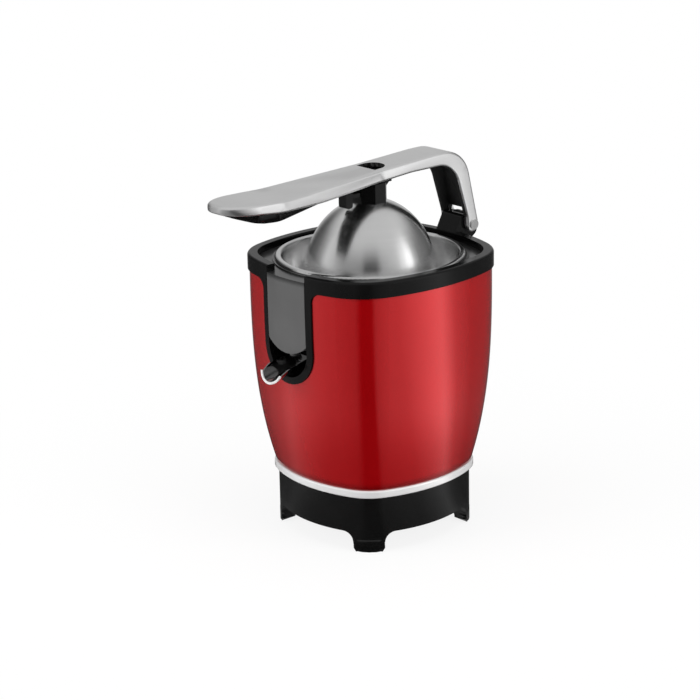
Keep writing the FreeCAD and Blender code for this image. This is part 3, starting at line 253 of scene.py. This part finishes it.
def niche_shaded_polish():
    """Polished steel with its base colour darkened as painted reflection of the dark niche round it."""
    f = Finish("niche_shaded_polish", Metallic=1.0)
    cloud = f.noise(60.0, 4.0)
    f.set(Base_Color=f.ramp(cloud, (0.3, grey(0.26)), (0.7, grey(0.34))))
    f.set(Roughness=0.04 + 0.06 * cloud)
    return f.material


def plated_band():
    """Plating painted near white and made mostly diffuse, as painted reflection of the bright studio, so it
    stays pale all round.
    """
    f = Finish("plated_band")
    cloud = f.noise(50.0, 3.0)
    f.set(Base_Color=f.ramp(cloud, (0.3, grey(0.92)), (0.7, grey(0.97))))
    f.set(Metallic=0.35 + 0.1 * cloud, Roughness=0.06 + 0.05 * cloud)
    return f.material


def plain_steel():
    f = Finish("plain_steel", Metallic=1.0)
    cloud = f.noise(180.0, 4.0)
    f.set(Base_Color=f.ramp(cloud, (0.3, grey(0.36)), (0.7, grey(0.46))))
    f.set(Roughness=0.3 + 0.15 * cloud)
    return f.material


def natural_plastic():
    f = Finish("natural_plastic")
    cloud = f.noise(40.0, 3.0)
    f.set(Base_Color=f.ramp(cloud, (0.3, (0.66, 0.64, 0.57)), (0.7, (0.74, 0.72, 0.66))))
    f.set(Roughness=0.42 + 0.1 * cloud)
    return f.material


def copper_wire():
    f = Finish("copper_wire", Metallic=0.8)
    bands = {"bands_direction": "Z"}
    turns = f.node("ShaderNodeTexWave", bands, Vector=f.place, Scale=420.0, Distortion=2.0)
    f.set(Base_Color=f.ramp(turns, (0.2, (0.28, 0.09, 0.03)), (0.8, (0.62, 0.26, 0.11))))
    f.set(Roughness=0.32 + 0.1 * turns)
    f.set(Normal=f.bump(turns, 0.6, 0.0004))
    return f.material


def soft_rubber():
    f = Finish("soft_rubber")
    grain = f.noise(900.0, 3.0)
    f.set(Base_Color=f.ramp(grain, (0.3, grey(0.012)), (0.7, grey(0.024))))
    f.set(Roughness=0.66 + 0.14 * grain)
    f.set(Normal=f.bump(grain, 0.2, 0.0003))
    return f.material


finishes = {
    "red": red_lacquer(),
    "gloss": black_gloss("black_gloss", 0.17),
    "base": black_gloss("base_gloss", 0.42),
    "satin": black_satin(),
    "arm_hollow_shade": hollow_shade_black(),
    "grey": grey_plastic(),
    "alloy": satin_alloy(),
    "cup": turned_steel("brushed_cup", grey(0.84), grey(0.93), 0.24, 0.015, 0.75),
    "bowl": turned_steel("bowl_steel", grey(0.7), grey(0.78), 0.2, 0.015, 0.5),
    "bright": bright_metal(),
    "spout": niche_shaded_polish(),
    "plated": plated_band(),
    "steel": plain_steel(),
    "natural": natural_plastic(),
    "copper": copper_wire(),
    "rubber": soft_rubber(),
}
wearing = {
    "red": ["body_shell"],
    "base": ["base_housing"],
    "gloss": ["top_rim", "spout_frame", "hinge_bracket", "cup_knob", "cup_socket",
              "release_latch"],
    "satin": ["grip_cover", "bottom_plate", "gear_cover", "gear_chassis", "cooling_fan", "start_switch"],
    "grey": ["juice_collector", "reamer_cone"],
    "alloy": ["lever_arm"],
    "cup": ["press_cup"],
    "bowl": ["strainer_bowl"],
    "plated": ["chrome_ring"],
    "spout": ["spout"],
    "bright": ["hinge_pin", "pin_cap"],
    "natural": ["output_gear", "idler_gear", "spring_plunger", "hub_bushes"],
    "copper": ["stator_coils"],
    "rubber": ["foot_pads", "cord_gland", "shaft_seal"],
}
finish_of = {node: kind for kind, group in wearing.items() for node in group}


def dress(obj, kind):
    obj.data.materials.clear()
    obj.data.materials.append(finishes[kind])


for name, obj in nodes.items():
    dress(obj, finish_of.get(name, "steel"))


# Pieces modelled here

bodies = frame["record"]["behaviour"]["bodies"]
body_of = {node: body for body, group in bodies.items() for node in group}
WELD = 0.000005         # points nearer than this are merged
UPWARDS = (0.0, 0.0, 1.0)
MIDDLE = (0.0, 0.0, 0.0)


def anything(item):
    return True


def only(obj):
    """Leave the edit mode and select this object alone."""
    if bpy.context.object and bpy.context.object.mode == "EDIT":
        bpy.ops.object.mode_set(mode="OBJECT")
    bpy.ops.object.select_all(action="DESELECT")
    obj.select_set(True)
    bpy.context.view_layer.objects.active = obj


def pick(obj, test, kind="VERT"):
    """Open the edit mode with the points or faces selected that pass the test."""
    only(obj)
    mesh = obj.data
    for group in (mesh.vertices, mesh.edges, mesh.polygons):
        for item in group:
            item.select = False
    for item in mesh.vertices if kind == "VERT" else mesh.polygons:
        item.select = test(item)
    bpy.ops.object.mode_set(mode="EDIT")
    bpy.ops.mesh.select_mode(type=kind)


def settle(obj, body, angle=35.0):
    """Close the edit mode, put the place into the mesh, smooth it and let it ride on its body."""
    only(obj)
    bpy.ops.object.transform_apply(location=True, rotation=True, scale=True)
    bpy.ops.object.shade_smooth_by_angle(angle=math.radians(angle))
    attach(obj, body)


def stand_in(node, name):
    """A merged copy of a node, to be shaped and shown in its place."""
    obj = bpy.data.objects.new(name, nodes[node].data.copy())
    bpy.context.scene.collection.objects.link(obj)
    pick(obj, anything)
    bpy.ops.mesh.remove_doubles(threshold=WELD)
    return obj


TIP_START = -0.137      # in front of the grip's first screw
TIP_DRAW = 1.53         # how far the end of the paddle is drawn out from there
PIN = Vector((0.0, 0.1075, 0.2555))
CHEEK_INSIDE = 0.0145   # half width between the arm's cheeks, with a little room
CHEEK_EDGE = 0.0166     # up to the rounding of the outer edge
BEND_START = 0.045      # behind this the arm bends down to its leg
EYE_TOP = 0.008         # height of the bare eye above the pin
RECESS_HALF = 0.0125
RECESS_ENDS = (-0.0045, 0.0145)
RECESS_LOW = 0.3


def draw_out_tip(obj):
    pick(obj, lambda point: point.co.y < TIP_START)
    bpy.ops.transform.resize(value=(1.0, TIP_DRAW, 1.0), center_override=(0.0, TIP_START, 0.0))


def inside_arm(face):
    """The hollow of the bend and leg, and the walls of the thumb recess: the faces that get the painted
    shade.
    """
    middle, normal = face.center, face.normal
    if middle.y > BEND_START:
        faces_in = min(normal.y, normal.z) < -0.35 and abs(middle.x) < CHEEK_EDGE
        cheek = abs(normal.x) > 0.5 and abs(middle.x) < CHEEK_INSIDE
        return (faces_in or cheek) and middle.z > PIN.z + EYE_TOP
    recess = abs(middle.x) < RECESS_HALF and RECESS_ENDS[0] < middle.y < RECESS_ENDS[1]
    return recess and normal.z < 0.5 and middle.z > RECESS_LOW


def model_arm():
    arm = stand_in("lever_arm", "arm_casting")
    draw_out_tip(arm)
    only(arm)
    dress(arm, "alloy")
    # Painted shade: the hollows and the recess walls get the dull black.
    arm.data.materials.append(finishes["arm_hollow_shade"])
    pick(arm, inside_arm, "FACE")
    arm.active_material_index = 1
    bpy.ops.object.material_slot_assign()
    settle(arm, "arm")
    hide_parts("lever_arm")

    grip = stand_in("grip_cover", "grip_belly")
    draw_out_tip(grip)
    dress(grip, "gloss")
    settle(grip, "arm", 60.0)
    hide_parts("grip_cover")


ARCH_FLOOR = 0.053      # half width of the base's arch at the floor
ARCH_LEAN = 0.39        # the arch narrows by this much of its height
SOLE = 0.0026           # where the moulded feet end
FOOT_DROP = -0.0022
SHOE_ROOM = 1.002       # the shoes lie this much outside the feet
FOOT_START = 0.06       # the feet begin this far from the middle planes
LEVEL_ROOM = 0.0003     # room for finding the points of one level
SOLE_ROOM = 0.0002      # room for finding the points of the soles
END_ROOM = 0.0012       # room for finding the points at a foot's end
FOOT_FLARE = (          # height and flare of each level
    (0.0115, 0.0), (0.009, 0.0005), (0.007, 0.0012), (0.005, 0.0021), (0.0035, 0.0028), (SOLE, 0.0022))


def flare_foot_ends(feet, height, flare, axis, side):
    """Widen the feet into the arch from one of its sides at one level."""
    end = ARCH_FLOOR - ARCH_LEAN * height

    def foot_end(point):
        level = abs(point.co.z - height) < LEVEL_ROOM
        near = abs(side * point.co[axis] - end) < END_ROOM
        return level and near and abs(point.co[1 - axis]) > FOOT_START

    shift = [0.0, 0.0, 0.0]
    shift[axis] = -side * flare
    pick(feet, foot_end)
    bpy.ops.transform.translate(value=shift)


def model_feet():
    """Shoes over the ends of the base's feet, which flare to rounded soles round the rubber pads."""
    feet = stand_in("base_housing", "flared_feet")
    knee = (0.0, 0.0, FOOT_FLARE[0][0])
    pick(feet, anything)
    bpy.ops.mesh.bisect(plane_co=knee, plane_no=UPWARDS, use_fill=True, clear_outer=True)
    for height, _ in FOOT_FLARE[1:-1]:
        pick(feet, anything)
        bpy.ops.mesh.bisect(plane_co=(0.0, 0.0, height), plane_no=UPWARDS)
    for height, flare in FOOT_FLARE[1:]:
        for axis in (0, 1):
            for side in (-1, 1):
                flare_foot_ends(feet, height, flare, axis, side)
    pick(feet, lambda point: point.co.z < SOLE + SOLE_ROOM)
    bpy.ops.transform.translate(value=(0.0, 0.0, FOOT_DROP))
    pick(feet, anything)
    bpy.ops.transform.resize(value=(SHOE_ROOM, SHOE_ROOM, 1.0), center_override=MIDDLE)
    dress(feet, "base")
    settle(feet, "root")


LIP = Vector((0.0, -0.1127, 0.168))
LIP_LEAN = math.radians(22.3)
LIP_RADIUS = 0.0136
LIP_ROLL = 0.0011
LIP_TOP = -0.0055       # the roll ends this far below the mouth's axis


def model_spout_lip():
    """Rolled edge along the lower half of the spout's mouth."""
    bpy.ops.object.select_all(action="DESELECT")
    bpy.ops.mesh.primitive_torus_add(
        major_radius=LIP_RADIUS, minor_radius=LIP_ROLL, major_segments=96, minor_segments=16,
        location=MIDDLE, rotation=(math.pi / 2, 0.0, 0.0))
    lip = bpy.context.object
    lip.name = "spout_lip"
    bpy.ops.object.transform_apply(rotation=True)
    pick(lip, anything)
    top = (0.0, 0.0, LIP_TOP)
    bpy.ops.mesh.bisect(plane_co=top, plane_no=UPWARDS, use_fill=True, clear_outer=True)
    bpy.ops.mesh.select_all(action="SELECT")
    bpy.ops.transform.resize(value=(1.0, 1.0, 1.0 / math.cos(LIP_LEAN)), center_override=MIDDLE)
    only(lip)
    lip.rotation_euler = (-LIP_LEAN, 0.0, 0.0)
    lip.location = LIP
    dress(lip, "plated")
    settle(lip, "spout")


KNUCKLES = (-0.0092, -0.0031, 0.0031, 0.0092)
KNUCKLE_RADIUS = 0.0099
KNUCKLE_WIDTH = 0.0046


def model_knuckles():
    """Rounded rings on the hinge barrel between the arm's cheeks."""
    for index, x in enumerate(KNUCKLES):
        bpy.ops.object.select_all(action="DESELECT")
        bpy.ops.mesh.primitive_cylinder_add(
            vertices=64, radius=KNUCKLE_RADIUS, depth=KNUCKLE_WIDTH,
            location=(x, PIN.y, PIN.z), rotation=(0.0, math.pi / 2, 0.0))
        ring = bpy.context.object
        ring.name = "hinge_knuckle_%d" % (index + 1)
        pick(ring, lambda face: abs(face.normal.z) > 0.9, "FACE")
        bpy.ops.mesh.inset(thickness=0.0012)
        bpy.ops.transform.resize(value=(0.92, 0.92, 1.06), orient_type="LOCAL")
        bpy.ops.mesh.select_all(action="SELECT")
        bpy.ops.mesh.select_mode(type="EDGE")
        bpy.ops.mesh.bevel(offset=0.0006, segments=3, clamp_overlap=True)
        dress(ring, "gloss")
        settle(ring, "root")


CROSS_SIZE = (2.9, 0.6, 0.12)       # millimetres
GRIP_SCREWS_Y = (-0.132, -0.066)
BRACKET_HEAD = 0.0029               # radius of a bracket screw's head
BOTTOM_HEAD = 0.0036                # radius of a bottom screw's head


def cross_slot(name, node, place, turn):
    """Dark cross drawn on a screw head as painted shade for its recess; it is modelled lying flat and then
    turned and placed.
    """
    bpy.ops.object.select_all(action="DESELECT")
    bpy.ops.mesh.primitive_cube_add(size=0.001, location=MIDDLE)
    cross = bpy.context.object
    cross.name = name
    pick(cross, anything)
    bpy.ops.transform.resize(value=CROSS_SIZE)
    bpy.ops.mesh.duplicate()
    bpy.ops.transform.rotate(value=math.pi / 2, orient_axis="Z", center_override=MIDDLE)
    bpy.ops.mesh.select_all(action="SELECT")
    bpy.ops.mesh.bevel(offset=0.00004, segments=2)
    only(cross)
    cross.rotation_euler = (turn, 0.0, 0.0)
    cross.location = place
    dress(cross, "satin")
    settle(cross, body_of[node])


def model_crosses():
    low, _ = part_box("grip_screws")
    for index, y in enumerate(GRIP_SCREWS_Y):
        cross_slot("grip_cross_%d" % (index + 1), "grip_screws", (0.0, y, low.z), 0.0)
    low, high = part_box("bracket_screws")
    for index, side in enumerate((-1, 1)):
        place = (side * (high.x - BRACKET_HEAD), high.y, (low.z + high.z) / 2)
        cross_slot("bracket_cross_%d" % (index + 1), "bracket_screws", place, math.pi / 2)
    low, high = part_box("bottom_screws")
    reach = high.x - BOTTOM_HEAD
    spots = [(x, y) for x in (-reach, reach) for y in (-reach, reach)]
    for index, (x, y) in enumerate(spots):
        cross_slot("bottom_cross_%d" % (index + 1), "bottom_screws", (x, y, low.z), 0.0)


model_arm()
model_feet()
model_spout_lip()
model_knuckles()
model_crosses()


# Stage, light and camera

def lamp(name, place, aim, size, power):
    data = bpy.data.lights.new(name, "AREA")
    data.shape = "RECTANGLE"
    data.size, data.size_y = size
    data.energy = power
    obj = bpy.data.objects.new(name, data)
    bpy.context.scene.collection.objects.link(obj)
    obj.visible_glossy = False
    obj.location = place
    obj.rotation_euler = (Vector(aim) - Vector(place)).to_track_quat("-Z", "Y").to_euler()


TOWARDS_CAMERA = (0.7563, -0.6542)
ROOM = (                # degrees to the right of the camera, brightness
    (-180, 0.45), (-145, 0.06), (-122, 0.12), (-104, 0.3), (-92, 0.62), (-80, 0.55), (-55, 0.32), (-18, 0.22),
    (-9, 0.0), (12, 0.0), (18, 0.3), (50, 0.55), (64, 1.0), (77, 1.5), (87, 0.5), (100, 0.2),
    (140, 0.1), (180, 0.45))
CEILING = 0.56          # brightness overhead
FLOOR_RADIUS = 1.2
LAMP_AIM = (0, 0, 0.15)


def room_light(bench, way):
    """Brightness of the studio by direction: two soft walls, and a dark gap where the camera stands."""
    x, y, z = bench.split(way)
    ahead = x * TOWARDS_CAMERA[0] + y * TOWARDS_CAMERA[1]
    right = y * TOWARDS_CAMERA[0] - x * TOWARDS_CAMERA[1]
    angle = right.math("ARCTAN2", ahead) / math.tau + 0.5
    walls = bench.ramp(angle, *[(0.5 + turn / 360, grey(level)) for turn, level in ROOM])
    return walls, ahead, z


def ray(bench, *kinds):
    """One for rays of any of these kinds, zero for the others."""
    path = bench.tree.nodes.new("ShaderNodeLightPath")
    found = Value(bench, path.outputs[kinds[0]])
    for kind in kinds[1:]:
        found = found.math("MAXIMUM", Value(bench, path.outputs[kind]))
    return found


def studio():
    bpy.ops.object.select_all(action="DESELECT")
    bpy.ops.mesh.primitive_circle_add(vertices=96, radius=FLOOR_RADIUS, fill_type="NGON", location=MIDDLE)
    floor = bpy.context.object
    floor.name = "floor"
    pale = Finish("pale_floor", Base_Color=(0.9, 0.9, 0.9, 1), Roughness=0.9)
    walls, _, _ = room_light(pale, pale.place)
    glow = pale.node("ShaderNodeEmission", {}, (1, 1, 1, 1), 1.0)
    far = pale.node("ShaderNodeVectorMath", {"operation": "LENGTH"}, pale.place, output=1)
    # Painted shade: the floor's glow seen in reflections is dimmer near the object.
    sheen = pale.node("ShaderNodeEmission", {}, walls, far.between(0.12, 0.34, 0.3, 0.8))
    paper = Value(pale, pale.shader.outputs[0])
    seen = ray(pale, "Is Camera Ray", "Is Transmission Ray") * far.between(0.1, 0.5, 0.86, 1.0)
    lit = pale.node("ShaderNodeMixShader", {}, seen, paper, glow)
    lit = pale.node("ShaderNodeMixShader", {}, ray(pale, "Is Glossy Ray"), lit, sheen)
    pale.feed(pale.tree.nodes["Material Output"].inputs[0], lit)
    floor.data.materials.append(pale.material)

    world = bpy.data.worlds.new("studio")
    world.use_nodes = True
    bpy.context.scene.world = world
    room = Bench(world.node_tree)
    walls, ahead, height = room_light(room, room.node("ShaderNodeTexCoord", {}, output="Generated"))
    light = room.node("ShaderNodeMixRGB", {}, height.between(0.3, 0.75), walls, (*grey(CEILING), 1))
    soft = room.node("ShaderNodeBackground", {}, light, 1.0)
    white = room.node("ShaderNodeBackground", {}, (1, 1, 1, 1), 1.0)
    behind = ray(room, "Is Glossy Ray") * ahead.between(-0.9, -0.98, 0.0, 0.22)
    seen = ray(room, "Is Camera Ray", "Is Transmission Ray").math("MAXIMUM", behind)
    mixed = room.node("ShaderNodeMixShader", {}, seen, soft, white)
    room.feed(room.tree.nodes["World Output"].inputs[0], mixed)
    lamp("top_box", (0.25, -0.15, 1.4), (0, 0, 0.2), (1.0, 1.0), 6.0)
    lamp("left_box", (-0.5, -1.2, 0.6), LAMP_AIM, (0.9, 0.9), 13.0)
    lamp("right_box", (1.3, 0.4, 0.6), LAMP_AIM, (0.9, 0.9), 10.0)


CAMERA_TURN, CAMERA_RISE, CAMERA_ROLL = 49.144, 17.513, -1.107     # degrees
CAMERA_AWAY = 2.1417
CAMERA_ASIDE = -0.019433
CAMERA_AIM = 0.158029


def camera():
    turn, rise, roll = map(math.radians, (CAMERA_TURN, CAMERA_RISE, CAMERA_ROLL))
    back = Vector((math.sin(turn) * math.cos(rise), -math.cos(turn) * math.cos(rise), math.sin(rise)))
    right = Vector((math.cos(turn), math.sin(turn), 0.0))
    up = back.cross(right)
    aim = Vector((CAMERA_ASIDE * math.cos(turn), CAMERA_ASIDE * math.sin(turn), CAMERA_AIM))
    data = bpy.data.cameras.new("camera")
    data.lens = 124.9
    data.sensor_width = 36.0
    obj = bpy.data.objects.new("camera", data)
    bpy.context.scene.collection.objects.link(obj)
    facing = Matrix((right, up, back)).transposed().to_4x4()
    obj.matrix_world = Matrix.Translation(aim + back * CAMERA_AWAY) @ facing @ Matrix.Rotation(roll, 4, "Z")
    bpy.context.scene.camera = obj


studio()
camera()
bpy.context.scene.view_settings.view_transform = "Standard"
